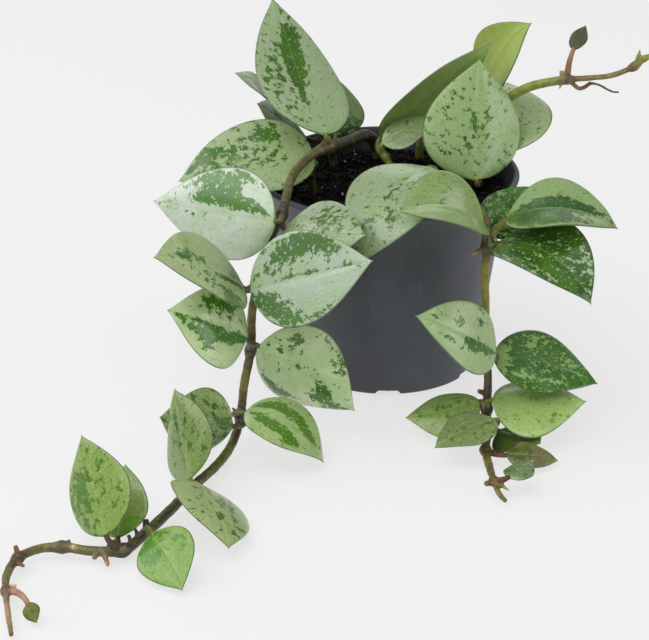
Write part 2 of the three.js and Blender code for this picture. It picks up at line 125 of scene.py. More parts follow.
class Finish:
    """A material with its shader, and one method that adds any other node."""

    def __init__(self, name, **constants):
        self.material = bpy.data.materials.new(name)
        self.material.use_nodes = True
        self.tree = self.material.node_tree
        self.shader = self.tree.nodes["Principled BSDF"]
        for socket, value in constants.items():
            self.shader.inputs[socket.replace("_", " ")].default_value = value

    def node(self, kind, settings=None, sockets=None, out=0):
        made = self.tree.nodes.new(kind)
        for name, value in (settings or {}).items():
            setattr(made, name, value)
        for name, value in (sockets or {}).items():
            self.feed(made.inputs[name], value)
        return Wire(self, made.outputs[out])

    def feed(self, socket, value):
        if isinstance(value, Wire):
            self.tree.links.new(value.socket, socket)
        else:
            socket.default_value = value

    def paint(self, color, *coats):
        """A colour with others laid over it, each as densely as its share says."""
        settings = {"data_type": "RGBA", "clamp_factor": True}
        for share, over in coats:
            color = self.node("ShaderNodeMix", settings, {0: share, 6: color, 7: over}, out=2)
        return color

    def grain(self, place, scale, detail=2.0, roughness=0.5):
        """Soft noise from 0 to 1, mostly near 0.5. Three scales, one for each axis, stretch it."""
        if isinstance(scale, tuple):
            place = self.node("ShaderNodeVectorMath", {"operation": "MULTIPLY"}, {0: place, 1: scale})
            scale = 1.0
        sockets = {"Vector": place, "Scale": scale, "Detail": detail, "Roughness": roughness}
        return self.node("ShaderNodeTexNoise", {}, sockets)

    def attribute(self, name, out="Fac"):
        return self.node("ShaderNodeAttribute", {"attribute_name": name}, out=out)

    def object_place(self):
        return self.node("ShaderNodeTexCoord", out="Object")

    def wear(self, color=None, roughness=None, bump=None, distance=0.0002, strength=0.5):
        """Feeds the shader, with a height for the bump."""
        if color is not None:
            self.feed(self.shader.inputs["Base Color"], color)
        if roughness is not None:
            self.feed(self.shader.inputs["Roughness"], roughness)
        if bump is not None:
            sockets = {"Height": bump, "Distance": distance, "Strength": strength}
            normal = self.node("ShaderNodeBump", {}, sockets)
            self.feed(self.shader.inputs["Normal"], normal)
        return self.material


def tone(red, green, blue):
    """A colour as a screen shows it, from 0 to 255, turned into the shader's scale."""
    shares = [channel / 255 for channel in (red, green, blue)]
    return tuple(c / 12.92 if c <= 0.04045 else ((c + 0.055) / 1.055) ** 2.4 for c in shares) + (1.0,)


print("a middle grey of 128 is", round(tone(128, 128, 128)[0], 3), "in the shader")


# %% [markdown]
# ## From a bmesh to a finished piece
# Every new piece ends the same way. Its mesh is written to an object at the origin, shaded smooth, given
# its material and set to ride with the plant. Where it takes the place of a solid, it hides it. One
# helper does all of that, so that no piece misses a step.


# %% Finish a piece
def mesh_object(name, bm):
    """Writes a bmesh to a new object, and frees it."""
    mesh = bpy.data.meshes.new(name)
    bm.to_mesh(mesh)
    bm.free()
    return placed(name, mesh)


def piece(name, bm, materials, stands_for=()):
    """Makes an object of a bmesh, and hands it to the frame."""
    made = mesh_object(name, bm)
    made.data.shade_smooth()
    for material in materials:
        made.data.materials.append(material)
    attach(made, "root")
    if stands_for:
        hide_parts(*stands_for)
    return made


# %% [markdown]
# ## The stems as lines
# On the real plant a leaf's stalk springs from a swollen node of the vine, so the stems and the leaves
# have to share one set of lines. Each stem is a list of points in millimetres that it passes through,
# the same as in the solids, with its radius and its bark's tone at some of those points. Its stubs are
# air roots, old flower stalks and buds: where they stand, their direction, length, root and tip radius,
# and the tone of the tip. A curve object could carry the line too, but a function that gives any point
# of it is easier to measure with.

# %% Stem lines
CORK, SEPIA, RUST, AMBER = (130, 110, 78), (70, 54, 36), (118, 80, 54), (152, 114, 74)
STRAW, LIME, ROSE = (214, 192, 132), (126, 148, 66), (176, 132, 120)
CENTRE_TONES = [(0, (92, 92, 42)), (2, (116, 130, 52)), (4, (112, 128, 50))]
SHADED_TONES = [(0, (34, 32, 18)), (2, (38, 36, 20)), (3, (50, 50, 26))]


def short_stem(route, radii, tones=CENTRE_TONES, nodes=(2,)):
    """A stem that carries leaves and nothing else."""
    return {"route": route, "radii": radii, "tones": tones, "nodes": nodes, "stubs": []}


STEMS = {
    "vine_left": {
        "route": [
            (-4, 36, 70), (-4, 36, 79), (-8, 29, 86), (-17, 11, 89.5), (-24, -7, 94.5), (-30.5, -16, 94),
            (-37.5, -31, 91.5), (-40, -43, 87), (-41.5, -52, 83.5), (-45, -53, 75), (-51, -57, 57),
            (-53, -60, 46.5), (-53.5, -65, 33), (-56, -69, 21), (-57.5, -73, 9), (-60, -87, 5),
            (-65, -105, 5), (-74, -124, 5), (-80, -139, 5), (-88, -155, 4.5), (-95.5, -168, 4.5),
            (-107, -167.5, 4), (-117, -165, 4), (-125.5, -166.5, 4), (-131.5, -173, 4),
            (-134, -183, 3.5), (-133, -194, 3.5), (-130.5, -208, 3), (-128, -220, 2.5),
        ],
        "radii": [
            (0, 2.6), (4, 2.5), (5, 1.7), (7.5, 1.9), (9, 1.4), (11, 1.7), (16, 1.8), (19, 2.0),
            (21, 1.8), (25, 1.5), (26.5, 1.1), (28, 0.9),
        ],
        "tones": [
            # The near-black tones up to place 4, where the vine arches over the rim, are partly the old
            # bark's brown and partly painted shade.
            (0, (30, 24, 16)), (2.4, (31, 25, 17)), (3.7, (42, 34, 22)), (4, (66, 50, 28)), (5, (70, 70, 28)),
            (7, (70, 70, 28)), (8, (38, 30, 20)), (9.5, (60, 54, 28)), (10, (42, 34, 24)),
            (11, (102, 98, 38)), (12, (60, 50, 30)), (13, (108, 104, 38)), (14, (44, 38, 26)),
            (15.5, (94, 94, 36)), (17, (64, 58, 38)), (19, (60, 62, 34)), (20, (46, 40, 28)),
            (21, (86, 88, 36)), (22, (82, 72, 50)), (23, (102, 100, 38)), (24, (58, 42, 28)),
            (25, (100, 96, 46)), (26, (84, 58, 40)), (26.6, (160, 122, 96)), (27.4, (150, 124, 88)),
            (28, (104, 84, 44)),
        ],
        "nodes": (4, 8, 10, 12, 14, 17, 20, 22, 24, 26),
        "stubs": [
            (4.1, (0.3, 0.5, 1), 5, 1.2, 0.6, CORK), (14, (-0.6, -0.5, 0.9), 6, 1.1, 0.5, CORK),
            (19, (-0.1, 0.5, 1), 4.5, 1.5, 1.2, SEPIA), (19.35, (-0.4, 0.4, 1), 4, 0.9, 0.7, SEPIA),
            (19.65, (-0.4, 0.4, 1), 4, 0.9, 0.7, SEPIA), (20.15, (-0.4, 0.4, 1), 4.5, 0.9, 0.7, RUST),
            (20.45, (0.2, 0.4, 1), 4, 1.2, 0.8, RUST), (20.6, (0.35, -1, -0.3), 7, 1.3, 0.7, AMBER),
            (20.75, (-0.3, -1, -0.2), 4, 1.2, 0.9, CORK), (21.6, (0.2, -0.6, 0.6), 2.8, 1, 0.8, STRAW),
            (21.8, (0.2, 0.7, 0.7), 3, 1, 0.7, CORK), (23.9, (-0.3, 0.3, 1), 4.5, 1.1, 0.9, RUST),
            (24.2, (1, -0.7, -0.1), 4.5, 1.1, 0.6, RUST), (25.8, (1, -0.1, 0.3), 4, 1, 0.7, STRAW),
        ],
    },
    "vine_right": {
        "route": [
            (27, -18, 70), (27, -18, 78), (26.5, -29, 86), (29.5, -43, 87), (35, -51.5, 81.5),
            (36.5, -53, 70.5), (36, -55, 60), (36.5, -57, 48), (37, -58, 36), (37.5, -59, 26),
            (38, -61, 16), (37.5, -65, 8), (37, -79, 4.5), (35.5, -92, 4), (36, -104, 4),
            (37, -116.5, 4), (38.5, -126, 3.5), (40.5, -130, 3),
        ],
        "radii": [
            (0, 2.2), (4, 1.9), (6, 1.55), (8, 1.5), (9, 1.6), (11, 1.75), (12, 1.65), (14, 1.6),
            (15, 1.2), (17, 0.9),
        ],
        "tones": [
            (0, (84, 82, 42)), (4, (94, 92, 42)), (5, (60, 46, 30)), (5.6, (128, 124, 38)),
            (8, (130, 128, 44)), (9, (92, 80, 42)), (10, (88, 78, 46)), (11, (46, 32, 24)),
            (12, (62, 46, 30)), (13, (92, 84, 38)), (14, (94, 88, 38)), (15, (88, 70, 36)),
            (16, (112, 108, 44)), (17, (88, 66, 36)),
        ],
        "nodes": (5, 9, 11, 13, 15),
        "stubs": [
            (5, (-1, -0.6, -0.2), 8, 1.2, 0.7, CORK), (5.1, (0.5, -1, 0), 5, 1.1, 0.8, CORK),
            (10.4, (-1, -0.2, 0.6), 4.5, 1.2, 0.9, RUST), (10.9, (-1, 0, 0.1), 4, 1.2, 0.9, RUST),
            (11.9, (1, -0.3, 0.5), 3, 1, 0.7, STRAW), (12.3, (-1, -0.2, 0.2), 4, 1.2, 0.8, STRAW),
            (14.9, (0.42, -1, 0.15), 13, 1.6, 0.3, LIME), (15.1, (-0.8, -0.4, 0.1), 4, 1.2, 1.1, RUST),
        ],
    },
    "shoot_upper_right": {
        "route": [
            (38, 8, 70), (38, 8, 78), (41, 14, 92), (47, 18, 104), (55, 15, 111), (63, 12, 114.5),
            (71, 10, 116.5), (80, 9, 117.5), (89, 8, 119), (97, 7, 123), (100.5, 6, 126.5),
        ],
        "radii": [(0, 2.0), (4, 1.9), (5.6, 1.75), (6.2, 1.2), (8.6, 1.1), (9.6, 1.3), (10, 1.2)],
        "tones": [
            (0, (110, 122, 44)), (5, (124, 138, 46)), (5.7, (112, 118, 44)), (6, (74, 62, 44)),
            (6.6, (112, 98, 46)), (8, (124, 110, 58)), (8.8, (98, 66, 50)), (9.2, (128, 124, 48)),
            (10, (124, 116, 46)),
        ],
        "nodes": (1, 3, 6, 9),
        "stubs": [
            (5.8, (-0.3, 0, -1), 4, 0.9, 0.4, STRAW), (5.8, (-0.2, 0, 1), 4, 1.1, 0.9, ROSE),
            (9.3, (0.1, 0, 1), 6, 1.8, 0.3, LIME), (9.9, (1, 0, 0.5), 4, 1.6, 0.8, LIME),
        ],
        "air_root": [
            (72.5, 10, 115.5), (74.3, 10, 113.9), (75.9, 10.2, 112.6), (78.6, 10.6, 113.3),
            (80.2, 11, 114.5), (84.2, 11.6, 113.6), (87.9, 12, 111.4), (90.5, 12, 110.5), (92.3, 12, 110.6),
        ],
    },
    "stem_front": short_stem([(18, -21, 70), (18, -21, 78), (18, -22, 88)], [(0, 1.9), (2, 1.5)]),
    "stem_centre": short_stem([(2, 9, 70), (2, 9, 78), (-1, 12, 84)], [(0, 1.8), (2, 1.4)]),
    "stem_back_right": short_stem(
        [(14, 34, 70), (14, 34, 78), (16, 38, 90), (25, 42, 100), (33, 42, 103)], [(0, 1.9), (4, 1.4)],
        nodes=(2, 4),
    ),
    "stem_back_left": short_stem(
        [(-22, 26, 70), (-22, 26, 78), (-25, 24, 87), (-31, 22, 95)], [(0, 1.9), (3, 1.3)],
        SHADED_TONES, (2, 3),
    ),
    "stem_front_left": short_stem(
        [(-30, -8, 70), (-30, -8, 78), (-31, -12, 86)], [(0, 1.8), (2, 1.4)], SHADED_TONES
    ),
}


def along_route(route, place):
    """The point at a place on a route: a smooth curve whose knots lie the root of a step apart."""
    points = [Vector(p) for p in route]
    points = [points[0] * 2 - points[1], *points, points[-1] * 2 - points[-2]]
    k = min(int(place), len(route) - 2)
    p0, p1, p2, p3 = points[k : k + 4]
    before, step, after = (math.sqrt((b - a).length) for a, b in ((p0, p1), (p1, p2), (p2, p3)))
    leave = ((p1 - p0) / before - (p2 - p0) / (before + step) + (p2 - p1) / step) * step
    arrive = ((p2 - p1) / step - (p3 - p1) / (step + after) + (p3 - p2) / after) * step
    u = place - k
    return (
        p1 * (2 * u**3 - 3 * u**2 + 1) + leave * (u**3 - 2 * u**2 + u)
        + p2 * (3 * u**2 - 2 * u**3) + arrive * (u**3 - u**2)
    )


def between(stops, place):
    """The value at a place, from a list of places and values."""
    for (start, first), (end, second) in zip(stops, stops[1:]):
        if place <= end:
            break
    share = min(1, max(0, (place - start) / (end - start)))
    if isinstance(first, tuple):
        return Vector(first).lerp(Vector(second), share)
    return first + (second - first) * share


print("left vine, radius half way:", round(between(STEMS["vine_left"]["radii"], 14), 2))

# %% [markdown]
# ## The leaves as numbers
# A hoya leaf is a thick waxy blade. Its place is the point where the stalk meets it, the way that its
# midrib heads, and how far it rises, rolls, bends and cups. Its colour is a silver ground with green
# flecks that crowd into blotches. Each leaf of the photograph has its own blotches, so each one gets a
# few soft discs, in shares of its length and half its width, that say where the green is dense. A noise
# then cuts the ragged edge, so no disc shows as a disc. Some leaves are less waxy, and some drip tips
# are hooked to one side. Short lists after the rows hold what only a few leaves have.

# %% Leaf rows
# Each row: the stem and its route point, the blade's foot, its length and width, the heading, rise,
# roll, bend and cup in degrees, the ground and blotch colours, and how flecked it is all over, in
# percent. Then its discs, in percent too: the place along and across, the reach along and across, and
# how green (less than 0 is silver, and on right_05 partly painted gleam).
LEAVES = {
    "left_01": ("vine_left", 4, (-25, -10, 100.5), 62, 46, 121, 36, 18, -20, 2,
        (148, 167, 130), (53, 93, 14), 24, [(35, 12, 14, 10, 60), (50, 2, 14, 20, 80), (66, -4, 13, 30, 90),
        (76, -28, 6, 25, 85), (30, 60, 30, 40, 22), (55, 45, 20, 30, 17), (30, -50, 35, 40, -10),
        (85, -60, 8, 20, 30)]),
    "left_02": ("stem_back_left", 3, (-45, 33, 98), 24, 17, 211, 60, -26, 40, 0,
        (145, 161, 135), (22, 52, 6), 15, [(35, 80, 12, 30, 50)]),
    "left_03": ("stem_back_left", 2, (-33, 19, 88.5), 31, 26, 216, 39, -35, -2, 18,
        (124, 142, 122), (37, 75, 9), 20, [(60, -10, 15, 40, 45), (50, 80, 10, 20, 40)]),
    "left_04": ("vine_left", 3, (-21, 26, 87), 35, 27, 93, 34, 8, 12, 12,
        (86, 111, 60), (27, 58, 6), 26, [(50, 70, 40, 20, 25), (10, -50, 20, 50, 60)]),
    "left_05": ("stem_front_left", 2, (-29, -13.5, 90.5), 57, 40, 190, 15, -27, 55, -12,
        (138, 156, 111), (40, 88, 8), 34, [(35, -62, 12, 20, 50), (50, 0, 30, 30, 22), (80, -50, 14, 40, 50),
        (55, -35, 15, 15, 25), (8, 0, 12, 60, -20), (30, 50, 20, 30, -8)]),
    # left_06: its pale bluish ground and its bluish blotch are partly its own silver and green and partly
    # painted sheen on the wax.
    "left_06": ("vine_left", 8, (-44, -60, 84), 53, 37, 154, -1, -70, 2, 27,
        (182, 195, 179), (77, 118, 58), 12, [(20, -26, 20, 12, 80), (45, -30, 28, 20, 85),
        (52, -70, 26, 26, 75), (26, -85, 14, 10, 50), (20, -55, 6, 14, -50), (50, 12, 40, 5, 30),
        (86, 10, 10, 50, 24), (66, -50, 4, 10, -40)]),
    "left_07": ("vine_left", 8, (-40, -56, 79), 35, 32, 326, 13, 38, 13, 21,
        (140, 155, 127), (47, 80, 13), 28, [(50, 25, 22, 60, 28)]),
    # left_08: its pale bluish ground and its bluish blotch are partly its own silver and green and partly
    # painted sheen on the wax.
    "left_08": ("vine_left", 10, (-53, -69.5, 60), 53, 37, 336, 23, 62, 4, -6,
        (159, 175, 156), (73, 107, 57), 20, [(38, 62, 18, 26, 70), (56, 82, 16, 18, 70),
        (68, 60, 12, 30, 40), (20, 42, 14, 20, 36), (52, 8, 30, 5, 55), (10, -50, 16, 36, 90),
        (27, -70, 12, 25, 60), (50, -90, 22, 10, 45), (50, -35, 30, 25, -16), (85, 10, 10, 30, 20)]),
    "left_09": ("vine_left", 10, (-56, -67, 60), 47, 39, 227, 46, -33, 35, 0,
        (146, 162, 114), (44, 86, 8), 24, [(32, 78, 12, 28, 80), (26, 20, 22, 10, 70), (70, -15, 14, 26, 50),
        (56, 45, 10, 26, 35), (50, -10, 12, 12, 30), (30, -60, 30, 40, -14)]),
    "left_10": ("vine_left", 12, (-55, -71, 41), 41, 32, 242, 38, -80, 48, 8,
        (185, 206, 155), (61, 112, 15), 16, [(10, 15, 15, 20, 80), (35, 20, 25, 18, 85),
        (55, 38, 12, 30, 85), (80, 25, 20, 35, 50), (40, -35, 20, 20, 42), (42, -72, 20, 22, 70),
        (62, -60, 10, 30, 40)]),
    "left_11": ("vine_left", 12, (-50, -72, 38), 44, 39, 349, -30, 98, 0, 28,
        (178, 199, 151), (48, 92, 7), 24, [(68, -25, 9, 34, 85), (84, -65, 10, 30, 60),
        (30, -75, 15, 13, 80), (24, 62, 8, 14, 55), (70, 75, 8, 20, 50), (50, 88, 10, 10, 45),
        (15, 30, 15, 20, 30), (40, 10, 30, 6, 25), (45, -40, 14, 25, -20)]),
    "left_12": ("vine_left", 14, (-55, -89.5, 18.5), 37, 34, 345, 8, 2, 70, 0,
        (149, 174, 113), (70, 115, 16), 20, [(20, 50, 14, 20, 70), (38, 42, 16, 22, 80),
        (58, 30, 14, 22, 80), (72, 5, 12, 20, 60), (12, -5, 12, 15, 60), (25, -30, 14, 18, 80),
        (42, -45, 14, 18, 80), (58, -65, 12, 20, 70)]),
    "left_13": ("vine_left", 14, (-60, -90, 13), 30, 28, 198, 14, -85, -8, 33,
        (120, 142, 76), (46, 90, 6), 40, [(12, -10, 12, 30, 40), (50, 30, 50, 70, 8)]),
    "left_14": ("vine_left", 17, (-74, -126, 10), 36, 31, 106, 38, -65, 0, 22,
        (102, 123, 56), (32, 68, 6), 26, [(50, 0, 26, 50, 20), (40, -70, 30, 20, 12),
        (12, 40, 15, 50, -10)]),
    "left_15": ("vine_left", 17, (-71, -132, 11), 41, 33, 294, 8, -32, 31, 7,
        (148, 164, 112), (44, 86, 8), 28, [(30, 45, 14, 20, 40), (42, 15, 15, 12, 25), (62, 0, 6, 12, 60),
        (70, 50, 20, 30, 12)]),
    "left_16": ("vine_left", 20, (-101, -169, 11), 37, 30, 114, 48, -58, 3, 18,
        (118, 144, 64), (70, 106, 26), 36, [(35, 50, 25, 45, 34), (60, 40, 12, 40, 20),
        (80, 30, 10, 30, -20)]),
    "left_17": ("vine_left", 20, (-98, -158, 4), 28, 22, 89, 45, -25, 13, 12,
        (116, 135, 63), (104, 151, 49), 22, [(15, -20, 18, 40, 60), (15, -80, 12, 30, 70),
        (65, 10, 10, 15, 40)]),
    "left_18": ("vine_left", 19, (-85, -168, 11), 28, 22, 297, -8, 30, 15, 0,
        (108, 146, 52), (72, 124, 24), 20, [(25, -45, 24, 42, 72), (35, 60, 15, 30, 30),
        (10, 30, 10, 30, 35)]),
    "left_19": ("vine_left", 26, (-124, -206, 6), 8, 6, 297, -24, 30, 5, 10,
        (93, 93, 17), (70, 75, 12), 30, []),
    "right_01": ("vine_right", 5, (34, -67, 85), 35, 50, 193, 50, -8, 75, -20,
        (109, 135, 69), (30, 67, 6), 20, [(45, -10, 20, 40, 14), (50, 50, 20, 40, -10)]),
    "right_02": ("vine_right", 5, (44, -51, 81), 45, 41, 345, 35, 7, 74, -16,
        (122, 146, 94), (26, 74, 8), 20, [(15, -10, 25, 40, 90), (40, -5, 25, 45, 80), (65, 15, 20, 32, 55),
        (30, -60, 25, 35, 70), (60, -60, 20, 30, 40), (85, 30, 10, 30, 35)]),
    "right_03": ("vine_right", 5, (41, -59, 75), 51, 37, 310, 25, 10, 75, -20,
        (137, 162, 120), (41, 78, 14), 80, [(78, 70, 12, 20, -34), (50, -85, 30, 16, -25)]),
    "right_04": ("vine_right", 9, (39.5, -71, 34.5), 44, 28, 230, 42, -68, 36, -6,
        (152, 174, 122), (36, 90, 7), 18, [(10, 10, 12, 15, 85), (25, 15, 15, 16, 90), (40, 24, 10, 18, 80),
        (30, -55, 7, 15, 60), (33, -90, 6, 10, 50), (54, -30, 6, 20, 45), (60, 45, 14, 12, 45),
        (80, -40, 15, 30, 25), (30, 70, 30, 25, -10)]),
    # right_05: the pale disc at its base is its own; the other pale discs are partly its silver and partly
    # painted gleams on the wax.
    "right_05": ("vine_right", 9, (40, -58.5, 27.5), 42, 36, 355, -1, 16, 25, 0,
        (145, 180, 97), (47, 105, 14), 80, [(35, 55, 12, 25, -30), (30, -55, 14, 20, -27),
        (70, 25, 12, 25, -26), (50, 50, 6, 30, -20), (55, -60, 5, 20, -20), (3, 0, 11, 90, -80)]),
    "right_06": ("vine_right", 11, (34, -69, 13), 29, 26, 186, -15, -19, -10, 38,
        (125, 152, 73), (89, 121, 49), 28, [(40, 0, 30, 40, 12)]),
    "right_07": ("vine_right", 12, (39, -85.5, 13.5), 27, 21, 209, 0, -6, 25, 0,
        (113, 129, 76), (80, 95, 44), 28, []),
    "right_08": ("vine_right", 11, (39, -72, 15), 36, 36, 357, -1, 13, -4, 23,
        (154, 183, 103), (122, 158, 57), 30, [(15, 10, 15, 50, -10)]),
    "right_09": ("vine_right", 12, (42, -76, 4), 20, 23, 316, 8, 11, 7, 9,
        (57, 78, 22), (82, 109, 26), 45, []),
    "right_10": ("vine_right", 13, (43, -98, 5), 20, 13, 356, 6, 23, 31, 0,
        (100, 92, 58), (78, 62, 32), 10, [(20, 20, 35, 90, 60)]),
    "right_11": ("vine_right", 15, (42, -121, 8), 14, 12, 45, 8, 0, 0, 20,
        (88, 107, 75), (62, 86, 26), 35, []),
    "centre_01": ("stem_front", 2, (15, -31, 94.5), 54, 43, 233, 6, 2, 70, 0,
        (126, 146, 110), (37, 77, 9), 25, [(45, 0, 18, 30, 20), (70, -10, 10, 40, 24), (65, 30, 5, 14, 50),
        (25, 25, 6, 12, 20)]),
    "centre_02": ("shoot_upper_right", 1, (35, -6, 80), 48, 46, 89, 68, 25, -4, 24,
        (140, 166, 110), (36, 80, 10), 27, [(38, 10, 14, 25, 28), (30, -25, 10, 12, 30),
        (30, 65, 12, 15, 20), (60, 70, 15, 20, 16), (55, -20, 10, 30, 14), (20, -75, 6, 12, 25),
        (75, 20, 5, 20, 20)]),
    "centre_03": ("shoot_upper_right", 1, (41, 14, 83), 47, 48, 78, 36, -6, 30, -4,
        (149, 169, 119), (38, 86, 10), 25, [(25, 60, 20, 30, 20), (12, 0, 10, 15, 40),
        (50, -50, 12, 20, 12)]),
    "centre_04": ("stem_back_right", 4, (41, 40, 103), 41, 28, 296, 62, -88, -18, 32,
        (139, 155, 109), (52, 92, 9), 20, []),
    "centre_05": ("stem_centre", 2, (-2, 27, 86), 62, 32, 357, 48, -46, 11, 23,
        (164, 176, 166), (51, 102, 18), 20, []),
    "centre_06": ("stem_centre", 2, (-2, 11, 89), 26, 20, 9, 34, 14, 22, 10,
        (107, 126, 85), (32, 69, 6), 20, [(45, 0, 20, 50, 14)]),
    "centre_07": ("vine_right", 4, (37, -49, 75), 31, 21, 46, 21, 37, 2, 5,
        (98, 132, 71), (28, 65, 11), 70, [(60, -30, 15, 30, -40)]),
    "shoot_01": ("shoot_upper_right", 6, (73, 10, 129), 11, 8, 46, 54, 3, 12, 0,
        (54, 47, 21), (28, 26, 6), 40, []),
}
UNDERSIDE = (132, 150, 86)  # the lower face, and then the few that are seen close
UNDERSIDES = {"centre_04": (148, 168, 78), "centre_05": (166, 196, 112), "shoot_01": (62, 58, 30)}
WAX = 0.85  # from 0 to 1, and then where it is thinner or thicker
WAXES = {
    "left_04": 0.25, "left_05": 0.65, "left_09": 0.6, "left_14": 0.6, "left_15": 0.65, "left_16": 0.6,
    "left_18": 0.6, "left_19": 0.2, "right_02": 0.5, "right_04": 0.6, "right_09": 0.5, "right_10": 0.4,
    "right_11": 1.0, "centre_02": 0.55, "centre_03": 0.6, "centre_07": 0.4, "shoot_01": 0.15,
}
# Millimetres by which a drip tip is hooked to its left, or less than 0 to its right.
HOOKS = {
    "left_01": 2.5, "left_09": 2.0, "left_11": -2.5, "left_12": -3.0, "left_13": -2.0, "left_14": -2.0,
    "left_15": 2.0, "left_18": -3.0, "right_02": 1.5, "right_03": -3.0, "right_05": -3.0, "centre_04": 5.5,
}
print("leaves:", len(LEAVES), "discs:", sum(len(row[13]) for row in LEAVES.values()))

# %% [markdown]
# ## The blade's skin
# Under the wax the silver is air between two layers of skin, and the green is where they touch. The
# flecks follow the side veins, so the noise is read in a frame that leans with them: one axis runs
# across the veins, where the noise changes fast, and one along them, where it changes slowly. The
# leaf's own discs then shift the threshold. An image could hold such a pattern too, but noise keeps
# its grain at any distance.

# %% Leaf materials
RIM_WIDTH = 0.45  # of the dark line round the blade, in millimetres
RIB_WIDTH = 0.5  # and of half the pale midrib
COVER_START = 0.664  # the noise that turns green where nothing is asked for
COVER_SLOPE = 0.304  # how far full green lowers that


def leaf_skin():
    """The upper face: silver ground, green flecks and blotches, a dark rim and a pale midrib."""
    finish = Finish("leaf_skin", Coat_Roughness=0.19, Specular_IOR_Level=0.2)
    wax = finish.attribute("wax")
    finish.feed(finish.shader.inputs["Coat Weight"], wax)
    place = finish.attribute("place", "Vector")
    clumps = finish.grain(place, (0.10, 0.09, 1), 1.0)
    flecks = finish.grain(place, (0.37, 0.34, 1), 1.5, 0.6)
    ragged = finish.grain(place, (1.6, 1.4, 1.3), 2.5, 0.7)
    dots = finish.grain(place, (1.0, 0.9, 1.7), 0.0)
    freckles = finish.grain(place, (1.5, 1.2, 2.3), 1.0)
    speckle = clumps * 0.14 + flecks * 0.54 + ragged * 0.32
    level = finish.attribute("green") * COVER_SLOPE - COVER_START
    cover = (speckle + level).ease(-0.008, 0.014) * (1 - dots.ease(0.69, 0.73) * 0.75)
    cover = cover + freckles.ease(0.72, 0.77) * (1 - cover) * 0.7
    wash = finish.grain(place, 0.12, 2.0)
    cells = finish.grain(place, 1.1, 3.0, 0.7)
    ground = finish.paint(
        finish.attribute("ground", "Color"),
        (wash.ease(0.35, 0.7) * wax * 0.4, tone(122, 152, 72)),  # green washes
        (cells.ease(0.48, 0.68) * wax * 0.4, tone(186, 198, 166)),  # frosted cells
        (cells.ease(0.48, 0.3) * 0.35, tone(100, 130, 58)),  # and darker ones
    )
    deep = finish.paint(
        finish.attribute("blotch", "Color"),
        (clumps.ease(0.4, 0.7) * 0.5, tone(78, 124, 26)),  # fresher clumps
        (cells.ease(0.5, 0.36) * 0.35, tone(40, 70, 20)),  # darker cells
    )
    rim = 1 - finish.attribute("rim").ease(0.1, RIM_WIDTH)
    rib = 1 - finish.attribute("rib").ease(0.1, RIB_WIDTH)
    color = finish.paint(
        ground, (cover, deep), (rim * 0.6, tone(58, 72, 34)), (rib * 0.25, tone(146, 172, 98))
    )
    roughness = 0.38 - cover * 0.08 + ragged * 0.08
    return finish.wear(color, roughness, cells * 0.6 - cover * 0.2, distance=0.00012, strength=0.35)


def leaf_underside():
    """The lower face: plain pale green, a little darker along the side veins."""
    finish = Finish("leaf_underside", Specular_IOR_Level=0.4)
    place = finish.attribute("place", "Vector")
    veins = finish.grain(place, (0.5, 0.06, 1), 1.0)
    mottle = finish.grain(place, 0.35, 3.0)
    rim = 1 - finish.attribute("rim").ease(0.15, RIM_WIDTH)
    color = finish.paint(
        finish.attribute("under", "Color"),
        (veins.ease(0.4, 0.7) * 0.2, tone(112, 136, 66)),
        (mottle.ease(0.5, 0.8) * 0.3, tone(170, 188, 120)),
        (rim * 0.6, tone(70, 84, 38)),
    )
    return finish.wear(color, mottle * 0.15 + 0.42, veins, strength=0.3)


SKINS = [leaf_skin(), leaf_underside()]
print("leaf finishes:", [m.name for m in SKINS])

# %% [markdown]
# ## The blades
# A grid is the natural start for a leaf: its rows run from the stalk to the tip, and its columns from
# edge to edge. Each corner is moved to its place on the bent, cupped blade by the same formula that the
# solids use, and the tip may hook sideways. Solidify gives the flesh, thick at the midrib and thin at
# the edge and the tip, and one level of subdivision rounds the rim. Sculpting would be freer, but 38
# leaves need a rule.

# %% Blade form
ROWS = 30
COLUMNS = 18
CROWDING = 1.25  # the columns stand closer towards the midrib
END_HALF_WIDTH = 0.6  # where the blade meets its stalk
TIP_HALF_WIDTH = 0.12
MIDRIB_DIP = 0.35
MIDRIB_REACH = 0.16  # share of half the width that the groove takes
SHAPE_BASE = 0.6
SHAPE_TIP = 0.6
DRIP_TIP = 0.1
FLESH = 1.45  # thickness at the midrib of a large leaf
LEAST_FLESH = 0.55  # share of that thickness that the smallest leaf has
FLESH_RUN = 100  # millimetres of length that would add a whole share
EDGE_SHARE = 0.5  # of its leaf's thickness, at the edge
TIP_SHARE = 0.2  # and at the tip
TIP_GAIN = 7  # how fast it thickens from there, in shares for each length
LOWEST = 0.9  # millimetres above the floor, for the middle of a blade that lies on it
VEIN_LEAN = 0.3  # how far a side vein runs towards the tip for each step outwards
GROOVE_FADE = 8  # how fast the groove deepens from both ends, in shares for each length
EDGE_WAVE = 0.45
WAVE_TURN = 9  # radians of it along the blade
WAVE_FADE = 4  # how fast it grows from the tip, in shares for each length
SIDE_SHIFT = 2  # radians from one edge's wave to the other's
LEAF_SHIFT = 1.7  # and from one leaf's to the next one's
RIM_END = 1.5  # the dark rim is this much narrower at the blade's ends
PATCH_SPACING = 37.0  # the noise is read this far apart for each leaf
YOUNG = Vector(tone(124, 156, 78))  # fresh green by the stalk
YOUNG_SHARE = 0.6
YOUNG_REACH = 0.22  # share of the length


def outline(t):
    """How wide a blade is at a share t of its length: a full body, and a drawn-out tip."""
    left = 1 - t
    return t**SHAPE_BASE * left**1.5 / (left + DRIP_TIP) ** SHAPE_TIP


shape_peak = max(outline(i / 100) for i in range(101))


def half_width(t, width):
    """Half the blade's width in millimetres."""
    least = END_HALF_WIDTH if t < 0.5 else TIP_HALF_WIDTH
    return max(least, outline(t) / shape_peak * width / 2)


